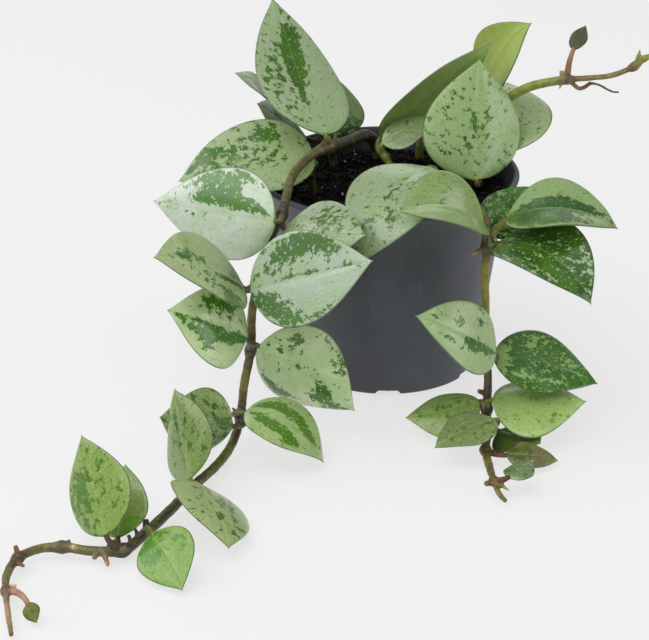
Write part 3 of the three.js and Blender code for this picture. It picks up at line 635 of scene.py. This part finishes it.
def blade_point(t, s, length, width, bend, cup, wave, hook):
    """A point of the blade's middle layer, in millimetres from its foot."""
    arc = math.radians(bend or 0.1)
    curl = math.radians(cup or 0.1)
    half = half_width(t, width)
    dip = MIDRIB_DIP * max(0, 1 - abs(s) / MIDRIB_REACH) * min(1, GROOVE_FADE * t, GROOVE_FADE * (1 - t))
    turn = WAVE_TURN * t + wave + (SIDE_SHIFT if s > 0 else 0)
    ripple = EDGE_WAVE * abs(s) ** 3 * math.sin(turn) * min(1, WAVE_FADE * (1 - t))
    lift = ripple - dip - half * (1 - math.cos(curl * s)) / curl
    return Vector((
        length * math.sin(arc * t) / arc + lift * math.sin(arc * t),
        half * math.sin(curl * s) / curl + hook * t**4,
        -length * (1 - math.cos(arc * t)) / arc + lift * math.cos(arc * t),
    ))


def greenness(t, s, level, discs):
    """How dense the green is at a place on the blade."""
    total = level
    for along, across, reach_along, reach_across, amount in discs:
        away = ((t - along) / reach_along) ** 2 + ((s - across) / reach_across) ** 2
        total += amount * math.exp(-(away**1.5))
    return min(1.1, max(0.0, total))


def blade_turn(heading, rise, roll):
    turns = Matrix.Rotation(math.radians(heading), 3, "Z") @ Matrix.Rotation(math.radians(-rise), 3, "Y")
    return turns @ Matrix.Rotation(math.radians(roll), 3, "X")


print("a blade at a tenth from its tip is", round(outline(0.9) / shape_peak, 2), "as wide as at its widest")


# %% Grow the leaves
def leaf(name, row, index):
    """One blade, coloured corner by corner and laid in its place."""
    _, _, foot, length, width, heading, rise, roll, bend, cup, ground, blotch, level, discs = row
    discs = [[share / 100 for share in disc] for disc in discs]
    shades = {"ground": tone(*ground), "blotch": tone(*blotch)}
    shades["under"] = tone(*UNDERSIDES.get(name, UNDERSIDE))
    bm = bmesh.new()
    flesh = bm.verts.layers.deform.verify()
    green, rim, rib, wax = (bm.verts.layers.float.new(key) for key in ("green", "rim", "rib", "wax"))
    place = bm.verts.layers.float_vector.new("place")
    colors = {key: bm.verts.layers.float_color.new(key) for key in shades}
    bmesh.ops.create_grid(bm, x_segments=COLUMNS, y_segments=ROWS, size=1)
    turn = blade_turn(heading, rise, roll)
    for vert in bm.verts:
        t = (1 - math.cos(math.pi * (vert.co.y + 1) / 2)) / 2
        s = math.copysign(abs(vert.co.x) ** CROWDING, -vert.co.x)
        half = half_width(t, width)
        point = blade_point(t, s, length, width, bend, cup, index * LEAF_SHIFT, HOOKS.get(name, 0))
        vert.co = (turn @ point + Vector(foot)) * MM
        vert.co.z = max(vert.co.z, LOWEST * MM)
        vert[flesh][0] = (1 - EDGE_SHARE * s**2) * min(1, TIP_SHARE + TIP_GAIN * (1 - t))
        vert[green] = greenness(t, s, level / 100, discs)
        vert[rim] = min(half * (1 - abs(s)), length * min(t, 1 - t) * RIM_END)
        vert[rib] = half * abs(s)
        vert[wax] = WAXES.get(name, WAX)
        vert[place] = (t * length - VEIN_LEAN * half * abs(s), half * s, index * PATCH_SPACING)
        for key, layer in colors.items():
            vert[layer] = shades[key]
        fresh = YOUNG_SHARE * vert[wax] * max(0, 1 - t / YOUNG_REACH) ** 1.5
        vert[colors["ground"]] = Vector(shades["ground"]).lerp(YOUNG, fresh)
    made = piece("blade_" + name, bm, SKINS, ["leaf_" + name])
    made.vertex_groups.new(name="flesh")
    solid = made.modifiers.new("flesh", "SOLIDIFY")
    solid.thickness = FLESH * MM * min(1, LEAST_FLESH + length / FLESH_RUN)
    solid.offset = 0
    solid.vertex_group = "flesh"
    solid.thickness_vertex_group = 0
    solid.material_offset = 1
    smooth = made.modifiers.new("round", "SUBSURF")
    smooth.levels = smooth.render_levels = 1
    return made


blades = [leaf(name, row, index) for index, (name, row) in enumerate(LEAVES.items())]
print("blades:", len(blades), "with", len(blades[0].data.vertices), "corners each before thickening")

# %% [markdown]
# ## The stems' bark and skin
# The old vine is brown-olive and lightly corky, the young wood is greener, and the tips are pinkish.
# All of it is one grown body, so the tone is written into the mesh point by point, and one recipe adds
# the darker patches and the pale pores. A texture per stem would give the same at far more work.


# %% Stem material
def bark(name):
    """Skin of a stem: its own tone, darker in patches, with pale pores."""
    finish = Finish(name, Specular_IOR_Level=0.45)
    place = finish.object_place()
    coarse = finish.grain(place, 420.0, 3.0, 0.6)
    fine = finish.grain(place, 1900.0, 2.0, 0.6)
    pores = fine.ease(0.6, 0.7) * (1 - finish.attribute("smooth") * 0.8)
    color = finish.paint(
        finish.attribute("bark", "Color"),
        (coarse.ease(0.45, 0.65) * 0.36, tone(54, 44, 28)),
        (coarse.ease(0.52, 0.35) * 0.25, tone(150, 142, 84)),
        (pores * 0.45, tone(164, 148, 98)),
    )
    return finish.wear(color, fine * 0.2 + 0.36, coarse + fine * 0.6, distance=0.00022, strength=0.45)


BARKS = {kind: bark("bark_" + kind) for kind in ("brown", "olive")}
print("stem finishes:", [m.name for m in BARKS.values()])

# %% [markdown]
# ## The stems
# Each stem starts as a disc that is extruded along its line, ring by ring, and swells at the nodes.
# Stalks and air roots are swept in the same way and sunk into it. A voxel remesh then melts them into
# one skin, as they are on the plant, which a Boolean union would leave with hard seams. The remesh
# forgets what each part was, so the corners look up the nearest line to learn it again.

# %% Sweep a tube
STEM_SIDES = 14
LIMB_SIDES = 10  # of stalks, stubs and air roots
STEM_STEP = 1.6  # millimetres between rings
NODE_SWELL = 0.9
NODE_HALF_LENGTH = 2.4
STALK_RADII = (1.5, 0.95)
STALK_STEPS = 8
STALK_STRAIGHT = 0.45
STALK_SINK = 0.6  # millimetres that it runs into its blade
STALK_BLEND = 3  # steps over which the stem's tone turns into the stalk's
STALK_TONE = (104, 106, 44)  # and then the tones of brown, shaded and young stalks
STALK_TONES = {
    "left_02": (52, 52, 28), "left_03": (52, 52, 28), "left_05": (56, 56, 30), "left_06": (76, 76, 36),
    "left_07": (76, 76, 36), "left_08": (74, 66, 36), "left_09": (74, 66, 36), "left_10": (70, 62, 36),
    "left_11": (70, 62, 36), "left_12": (80, 74, 38), "left_13": (70, 62, 36), "left_16": (72, 52, 34),
    "left_17": (72, 52, 34), "left_19": (168, 122, 100), "right_02": (108, 106, 38),
    "right_09": (110, 74, 40), "right_10": (88, 48, 30), "right_11": (92, 52, 32),
    "centre_05": (100, 120, 50), "centre_06": (112, 136, 56), "shoot_01": (144, 110, 74),
}
STUB_STEPS = 4
STUB_BLEND = 1.5  # how fast a stub takes its own tone, in shares for each length
STUB_SMOOTH = 0.5  # from 0, rough bark with pores, to 1
AIR_ROOT_SMOOTH = 0.8
AIR_ROOT_TONES = [(0, (128, 84, 60)), (4, (92, 66, 44)), (8, (44, 44, 34))]
AIR_ROOT_RADII = [(0, 0.95), (4, 0.85), (4.6, 0.55), (8, 0.45)]


def sweep(bm, centres, tangents, radii, sides=STEM_SIDES):
    """Extrudes a disc through the centres, which are in millimetres."""
    corner = bm.verts.layers.int.get("corner") or bm.verts.layers.int.new("corner")
    ring = bmesh.ops.create_circle(bm, cap_ends=True, segments=sides, radius=1)["verts"]
    shape = [v.co.copy() for v in ring]
    for i, vert in enumerate(ring):
        vert[corner] = i
    cap = ring[0].link_faces[0]
    side = Vector((0.35, 0.2, 1)).cross(tangents[0]).normalized()
    for i, (centre, tangent, radius) in enumerate(zip(centres, tangents, radii)):
        if i:
            made = bmesh.ops.extrude_face_region(bm, geom=[cap])["geom"]
            cap = next(g for g in made if isinstance(g, bmesh.types.BMFace))
        side = (side - tangent * side.dot(tangent)).normalized()
        across = tangent.cross(side)
        for vert in cap.verts:
            x, y, _ = shape[vert[corner]]
            vert.co = (centre + (side * x + across * y) * radius) * MM


def stem_rings(spec):
    """Places along a stem, evenly spaced, with the centre, tangent and radius at each."""
    route = spec["route"]
    last = len(route) - 1
    places = []
    for k in range(last):
        chord = (Vector(route[k + 1]) - Vector(route[k])).length
        steps = max(2, round(chord / STEM_STEP))
        places += [k + i / steps for i in range(steps)]
    places.append(last)
    centres = [along_route(route, p) for p in places]
    ends = [centres[0], *centres, centres[-1]]
    tangents = [(after - before).normalized() for before, after in zip(ends, ends[2:])]
    nodes = [along_route(route, n) for n in spec["nodes"]]
    radii = []
    for p, centre in zip(places, centres):
        away = min(((centre - node).length for node in nodes), default=NODE_HALF_LENGTH)
        radii.append(between(spec["radii"], p) + NODE_SWELL * max(0, 1 - (away / NODE_HALF_LENGTH) ** 2))
    return places, centres, tangents, radii


def stalk_line(spec, row):
    """The bent line of a leaf's stalk, from its node to the blade's foot."""
    _, node, foot, _, _, heading, rise = row[:7]
    start = Vector(spec["route"][node])
    ahead = blade_turn(heading, rise, 0) @ Vector((1, 0, 0))
    end = Vector(foot) + ahead * STALK_SINK
    bend = end - ahead * STALK_STRAIGHT * (end - start).length
    shares = [i / STALK_STEPS for i in range(STALK_STEPS + 1)]
    centres = [start * (1 - u) ** 2 + bend * 2 * u * (1 - u) + end * u**2 for u in shares]
    tangents = [((bend - start) * (1 - u) + (end - bend) * u).normalized() for u in shares]
    radii = [STALK_RADII[0] + (STALK_RADII[1] - STALK_RADII[0]) * u for u in shares]
    return centres, tangents, radii


print("stalk of the first leaf, at the blade:", stalk_line(STEMS["vine_left"], LEAVES["left_01"])[0][-1])


# %% Grow the stems
VOXEL = 0.36 * MM
SMOOTHINGS = 3
NEAREST = 8  # centres that a corner of the skin asks for its tone
FADE = 2.5  # how fast their say falls off, for each millimetre
BUMPS = ((260, 0.14), (900, 0.08))  # scale, and height in millimetres


def melted(bm, name):
    """The union of the bodies in a bmesh, as one smooth skin."""
    bmesh.ops.recalc_face_normals(bm, faces=bm.faces)
    parts = mesh_object(name + "_parts", bm)
    remesh = parts.modifiers.new("melt", "REMESH")
    remesh.mode = "VOXEL"
    remesh.voxel_size = VOXEL
    whole = bpy.data.meshes.new_from_object(parts.evaluated_get(bpy.context.evaluated_depsgraph_get()))
    skin = bmesh.new()
    skin.from_mesh(whole)
    unused = (parts.data, whole)
    bpy.data.objects.remove(parts)
    for mesh in unused:
        bpy.data.meshes.remove(mesh)
    axes = {"use_axis_x": True, "use_axis_y": True, "use_axis_z": True}
    for _ in range(SMOOTHINGS):
        bmesh.ops.smooth_vert(skin, verts=skin.verts, factor=0.5, **axes)
    return skin


def stem(name, spec, material, slot):
    """One stem with its stalks and stubs, melted together, and toned by the nearest of them."""
    bm = bmesh.new()
    places, centres, tangents, radii = stem_rings(spec)
    sweep(bm, centres, tangents, radii)
    marks = [(c, r, between(spec["tones"], p), 0.0) for p, c, r in zip(places, centres, radii)]
    for leaf_name, row in LEAVES.items():
        if row[0] == name:
            line = stalk_line(spec, row)
            sweep(bm, *line, sides=LIMB_SIDES)
            wood = between(spec["tones"], row[1])
            stalk_tone = Vector(STALK_TONES.get(leaf_name, STALK_TONE))
            for i, (centre, _, radius) in enumerate(zip(*line)):
                share = min(1, i / STALK_BLEND)
                marks.append((centre, radius, wood.lerp(stalk_tone, share), share))
    for place, direction, length, root, tip, tip_tone in spec["stubs"]:
        start = along_route(spec["route"], place)
        ahead = Vector(direction).normalized()
        shares = [i / STUB_STEPS for i in range(STUB_STEPS + 1)]
        steps = [start + ahead * length * u for u in shares]
        thick = [root + (tip - root) * u for u in shares]
        sweep(bm, steps, [ahead] * len(steps), thick, sides=LIMB_SIDES)
        wood = between(spec["tones"], place)
        marks += [(c, r, wood.lerp(Vector(tip_tone), min(1, STUB_BLEND * u)), STUB_SMOOTH)
                  for c, r, u in zip(steps[2:], thick[2:], shares[2:])]
    if "air_root" in spec:
        root = {"route": spec["air_root"], "radii": AIR_ROOT_RADII, "nodes": ()}
        places, *line = stem_rings(root)
        sweep(bm, *line, sides=LIMB_SIDES)
        marks += [(c, r, between(AIR_ROOT_TONES, p), AIR_ROOT_SMOOTH)
                  for p, c, r in zip(places, line[0], line[2])]
    tree = KDTree(len(marks))
    for i, mark in enumerate(marks):
        tree.insert(mark[0] * MM, i)
    tree.balance()
    skin = melted(bm, name)
    tones = skin.verts.layers.float_color.new("bark")
    smooth = skin.verts.layers.float.new("smooth")
    for vert in skin.verts:
        near = [(marks[i], away / MM) for _, i, away in tree.find_n(vert.co, NEAREST)]
        weights = [math.exp(-FADE * max(0, away - mark[1])) for mark, away in near]
        whole = sum(weights) or 1
        color = sum((mark[2] * w for (mark, _), w in zip(near, weights)), Vector((0, 0, 0))) / whole
        vert[tones] = tone(*color)
        vert[smooth] = sum(mark[3] * w for (mark, _), w in zip(near, weights)) / whole
    for vert in skin.verts:
        rough = sum(noise.noise(vert.co * scale) * height for scale, height in BUMPS)
        vert.co += vert.normal * rough * MM * (1 - vert[smooth])
    return piece(name + "_skin", skin, [material], [name])


for stem_name, spec in STEMS.items():
    kind = "brown" if stem_name == "vine_left" else "olive"
    made = stem(stem_name, spec, BARKS[kind], "stem_" + kind)
    print(made.name, len(made.data.polygons), "faces")

# %% [markdown]
# ## The pot
# A nursery pot is one thin moulding: a tapered wall, a collar that flares to the rim, a rolled lip and a
# foot with drain notches. Half its section, spun about the upright axis, is the whole of it. The step
# under the collar is eased into a slope, and the sharp loops are bevelled a little, because no moulding
# has a true edge, and light catches on them. Inside, the wall is painted dark as the shade in the pot.

# %% Lathe
POT_STEPS = 180
POT_BEVEL = 0.35 * MM
SHARP = math.radians(28)  # edges that turn by more than this are bevelled
POT_HEIGHT, RIM_RADIUS, BASE_RADIUS = 82, 52.5, 37
COLLAR_FOOT, COLLAR_FOOT_RADIUS, WALL_TOP_RADIUS = 67, 47.8, 46.6
WALL = 1.5
FLOOR = 3
NOTCH_COUNT, NOTCH_HALF_ANGLE, NOTCH_HEIGHT = 6, math.radians(7), 2
PAD_REACH = 20  # the notches cut the foot ring beyond this radius, and not the pad in the middle


def lathe(profile, steps):
    """A closed body from points of radius and height, in millimetres."""
    bm = bmesh.new()
    verts = [bm.verts.new((r * MM, 0, z * MM)) for r, z in profile]
    edges = [bm.edges.new(pair) for pair in zip(verts, verts[1:])]
    bmesh.ops.spin(
        bm, geom=verts + edges, axis=(0, 0, 1), cent=(0, 0, 0), dvec=(0, 0, 0),
        angle=2 * math.pi, steps=steps, use_merge=True, use_duplicate=False,
    )
    bmesh.ops.remove_doubles(bm, verts=bm.verts, dist=1e-6)
    bmesh.ops.recalc_face_normals(bm, faces=bm.faces)
    return bm


def wall_inside(z):
    """The pot's inner radius at a height."""
    if z < COLLAR_FOOT:
        return BASE_RADIUS - WALL + (WALL_TOP_RADIUS - BASE_RADIUS) * z / COLLAR_FOOT
    flare = (z - COLLAR_FOOT) / (POT_HEIGHT - COLLAR_FOOT)
    return WALL_TOP_RADIUS - WALL + (RIM_RADIUS - 2.2 - WALL_TOP_RADIUS + WALL) * flare


print("inside of the rim:", wall_inside(POT_HEIGHT))


# %% Pot
def pot_plastic():
    """Dark grey moulded plastic: satin, faintly grained, scuffed and dusty in places."""
    finish = Finish("pot_plastic", Specular_IOR_Level=0.45)
    place = finish.object_place()
    grain = finish.grain(place, 2600.0, 2.0, 0.6)
    cloud = finish.grain(place, 38.0, 3.0, 0.6)
    drag = finish.grain(place, (300.0, 300.0, 36.0), 2.0, 0.6)
    color = finish.paint(
        tone(56, 59, 65),
        (cloud.ease(0.35, 0.7) * 0.5, tone(74, 79, 87)),
        (drag.ease(0.6, 0.78) * 0.22, tone(98, 100, 106)),
        # painted shade: the inner wall, from the floor up over the lip, is darkened as the shadow inside the
        # pot
        (finish.attribute("inner_shade") * 0.75, tone(14, 12, 11)),
    )
    roughness = cloud * 0.14 + drag * 0.1 + 0.34
    return finish.wear(color, roughness, grain + drag * 0.4, distance=0.00006, strength=0.35)


def pot():
    """The pot, spun from half its section, with its notches pushed up into the foot."""
    floor_top = FLOOR + WALL
    bm = lathe([
        (0, 0), (9, 0), (9.8, FLOOR), (BASE_RADIUS - 6.8, FLOOR), (BASE_RADIUS - 6, 0),
        (BASE_RADIUS - 0.8, 0), (BASE_RADIUS, 0.8), (BASE_RADIUS + 0.55, 4.2),
        (WALL_TOP_RADIUS - 0.35, COLLAR_FOOT - 2), (COLLAR_FOOT_RADIUS, COLLAR_FOOT + 1),
        (RIM_RADIUS - 1, POT_HEIGHT - 2.6),
        (RIM_RADIUS, POT_HEIGHT - 1.6), (RIM_RADIUS, POT_HEIGHT - 0.7), (RIM_RADIUS - 0.7, POT_HEIGHT),
        (RIM_RADIUS - 2.0, POT_HEIGHT), (RIM_RADIUS - 2.4, POT_HEIGHT - 0.6),
        (wall_inside(COLLAR_FOOT), COLLAR_FOOT), (wall_inside(floor_top), floor_top), (0, floor_top),
    ], POT_STEPS)
    spacing = 2 * math.pi / NOTCH_COUNT
    for vert in bm.verts:
        radius = math.hypot(vert.co.x, vert.co.y) / MM
        turn = math.atan2(vert.co.y, vert.co.x) + math.pi / 2
        off_notch = abs((turn + spacing / 2) % spacing - spacing / 2)
        if vert.co.z < 1 * MM and radius > PAD_REACH and off_notch < NOTCH_HALF_ANGLE:
            vert.co.z = NOTCH_HEIGHT * MM
    sharp = [e for e in bm.edges if len(e.link_faces) == 2 and e.calc_face_angle() > SHARP]
    bmesh.ops.bevel(
        bm, geom=sharp, offset=POT_BEVEL, offset_type="OFFSET", segments=2, profile=0.5,
        affect="EDGES", material=-1, clamp_overlap=True,
    )
    # Marks the inner face of the wall above the floor, where the painted shade goes.
    inner_shade = bm.verts.layers.float.new("inner_shade")
    for vert in bm.verts:
        vert.co.z = max(0, vert.co.z)
        height = vert.co.z / MM
        inside = math.hypot(vert.co.x, vert.co.y) / MM < wall_inside(height) + WALL / 3
        vert[inner_shade] = inside and height > FLOOR
    return piece("pot_moulding", bm, [pot_plastic()], ["pot"])


print("pot faces:", len(pot().data.polygons))

# %% [markdown]
# ## The soil
# Potting mix is dark peat with crumbs of bark, a few fibres and a few pale grains. The bed is spun like
# the pot, so that it meets the wall in a clean ring, and its top is then lifted by noise into lumps. The
# crumbs are loose: each one is a small cube with its corners pushed about, and there are hundreds, so
# they stay this simple.

# %% Soil
SOIL_TOP = 74
SOIL_EDGE = 72  # its height where it meets the wall
SOIL_GAP = 0.3
SOIL_RINGS = 44
SOIL_STEPS = 150
SOIL_WAVES = ((0.31, 0.17), (-0.13, 0.37), (0.23, -0.23))
WAVE_HEIGHT = 1.4
LUMP_SCALE = 0.28
LUMP_HEIGHT = 0.8
soil_radius = wall_inside(SOIL_EDGE) - SOIL_GAP


def soil_height(x, y):
    """The soil's top in millimetres: the solids' waves, with lumps of peat on them."""
    wave = sum(math.sin(x * a + y * b) for a, b in SOIL_WAVES) * WAVE_HEIGHT / len(SOIL_WAVES)
    lumps = noise.fractal(Vector((x, y, 3)) * LUMP_SCALE, 0.8, 2.1, 4) * LUMP_HEIGHT
    return SOIL_TOP + wave + lumps


def soil_dark():
    """Moist peat, darker than peat is as painted shade inside the pot, and nearly black as painted shade in
    its hollows.
    """
    finish = Finish("soil_dark", Specular_IOR_Level=0.1)
    place = finish.object_place()
    crumbs = finish.grain(place, 700.0, 4.0, 0.7)
    wet = finish.grain(place, 120.0, 2.0)
    # painted shade: the nearly black base shows where the crumb noise, and so the bump, is low
    color = finish.paint(
        tone(3, 3, 3),
        (crumbs.ease(0.4, 0.65), tone(14, 10, 9)),
        (crumbs.ease(0.68, 0.76) * 0.4, tone(74, 52, 40)),
    )
    return finish.wear(color, wet * 0.3 + 0.6, crumbs, distance=0.0008, strength=0.9)


def soil_bed():
    floor = FLOOR + WALL + SOIL_GAP
    profile = [(0, floor), (wall_inside(floor) - SOIL_GAP, floor), (soil_radius, SOIL_EDGE)]
    profile += [(soil_radius * ring / SOIL_RINGS, SOIL_TOP) for ring in range(SOIL_RINGS - 1, -1, -1)]
    bm = lathe(profile, SOIL_STEPS)
    for vert in bm.verts:
        if vert.co.z > (SOIL_EDGE + 1) * MM:
            vert.co.z = soil_height(vert.co.x / MM, vert.co.y / MM) * MM
    return piece("soil_bed", bm, [soil_dark()], ["soil"])


print("soil faces:", len(soil_bed().data.polygons))

# %% Crumbs on the soil
# Each kind: how many, their size in millimetres and how flat they are, and a light and a dark tone.
CRUMBS = {
    "peat": (1500, 1.5, 0.6, (18, 13, 11), (5, 4, 4)),
    "bark": (250, 2.2, 0.35, (58, 38, 28), (16, 11, 9)),
    "grit": (37, 0.9, 0.8, (206, 196, 176), (150, 140, 122)),
}
CRUMB_MARGIN = 1.5  # millimetres that they stay away from the wall
CRUMB_TILT = 0.4  # radians, more or less
CRUMB_JITTER = 0.12  # share of its size that a corner is pushed about


def crumb_finish(name, light, dark):
    finish = Finish(name, Specular_IOR_Level=0.12)
    grain = finish.grain(finish.object_place(), 900.0, 3.0, 0.6)
    color = finish.paint(tone(*dark), (grain.ease(0.35, 0.65), tone(*light)))
    return finish.wear(color, grain * 0.2 + 0.65, grain, distance=0.0003, strength=0.6)


def crumbs(name, count, size, flat, finish, dice):
    """Loose bits, each a cube with its corners pushed about, strewn over the soil."""
    bm = bmesh.new()
    for _ in range(count):
        angle = dice.uniform(0, 2 * math.pi)
        radius = (soil_radius - CRUMB_MARGIN) * math.sqrt(dice.random())
        x, y = radius * math.cos(angle), radius * math.sin(angle)
        big = size * dice.uniform(0.5, 1.4)
        turn = Matrix.Rotation(dice.uniform(0, 6.3), 4, "Z")
        turn = turn @ Matrix.Rotation(dice.gauss(0, CRUMB_TILT), 4, "X")
        place = Matrix.Translation(Vector((x, y, soil_height(x, y) + big * flat * 0.3)) * MM)
        stretch = Matrix.Diagonal((big * MM, big * dice.uniform(0.4, 0.8) * MM, big * flat * MM, 1))
        made = bmesh.ops.create_cube(bm, size=1, matrix=place @ turn @ stretch)["verts"]
        for vert in made:
            push = Vector((dice.gauss(0, 1), dice.gauss(0, 1), dice.gauss(0, 1)))
            vert.co += push * big * CRUMB_JITTER * MM
    return piece(name, bm, [finish])


dice = random.Random(11)
for kind, (count, size, flat, light, dark) in CRUMBS.items():
    crumbs("soil_" + kind, count, size, flat, crumb_finish(kind, light, dark), dice)
print("crumbs:", sum(row[0] for row in CRUMBS.values()))

# %% [markdown]
# ## Floor and light
# The photograph is a cut-out on pale grey, lit evenly from the front and above, with soft gleams on the
# wax. A large pale floor and six wide soft lights all round give that, the strongest of them above.
# Small lights would give hard shadows, which the photograph doesn't have.

# %% Stage
PALE = tone(240, 240, 240)
FLOOR_GLOW = 0.77
FLOOR_SHADE = tone(118, 118, 118)
FLOOR_SINK = 0.2 * MM  # so that it isn't level with the pot's foot
AIM = Vector((0, -0.04, 0.06))
# Each light: its place, width and height in metres, and its power.
LIGHTS = {
    "key": ((-0.45, -0.6, 1.2), 1.3, 1.3, 10),
    "left": ((-1.1, 0.1, 0.78), 0.9, 0.9, 7),
    "right": ((1.2, -0.2, 0.45), 0.8, 0.7, 5),
    "back": ((-0.1, 1.2, 0.75), 2.2, 0.5, 4),
    "front": ((-0.3, -1.4, 0.55), 1.6, 0.9, 6),
    "top": ((0, -0.1, 1.9), 2.4, 2.4, 12),
}
ROOM_LIGHT = {"Color": (1, 1, 1, 1), "Strength": 0.2}


def floor():
    bm = bmesh.new()
    bmesh.ops.create_grid(bm, x_segments=1, y_segments=1, size=4)
    bmesh.ops.translate(bm, verts=bm.verts, vec=(0, 0, -FLOOR_SINK))
    made = mesh_object("floor", bm)
    glow = {"Emission_Color": PALE, "Emission_Strength": FLOOR_GLOW}
    finish = Finish("floor_pale", Roughness=1, Specular_IOR_Level=0, Base_Color=FLOOR_SHADE, **glow)
    made.data.materials.append(finish.material)
    return made


def soft_light(name, place, width, height, power):
    """A wide light that faces the plant and isn't seen itself."""
    light = bpy.data.lights.new(name, "AREA")
    light.shape = "RECTANGLE"
    light.size = width
    light.size_y = height
    light.energy = power
    made = placed(name, light)
    made.location = place
    made.rotation_euler = (AIM - Vector(place)).to_track_quat("-Z", "Y").to_euler()
    made.visible_camera = False
    return made


floor()
for light_name, row in LIGHTS.items():
    soft_light(light_name, *row)
world = bpy.data.worlds.new("room")
world.use_nodes = True
for socket, value in ROOM_LIGHT.items():
    world.node_tree.nodes["Background"].inputs[socket].default_value = value
bpy.context.scene.world = world
bpy.context.scene.view_settings.view_transform = "Standard"
print("lights:", list(LIGHTS))
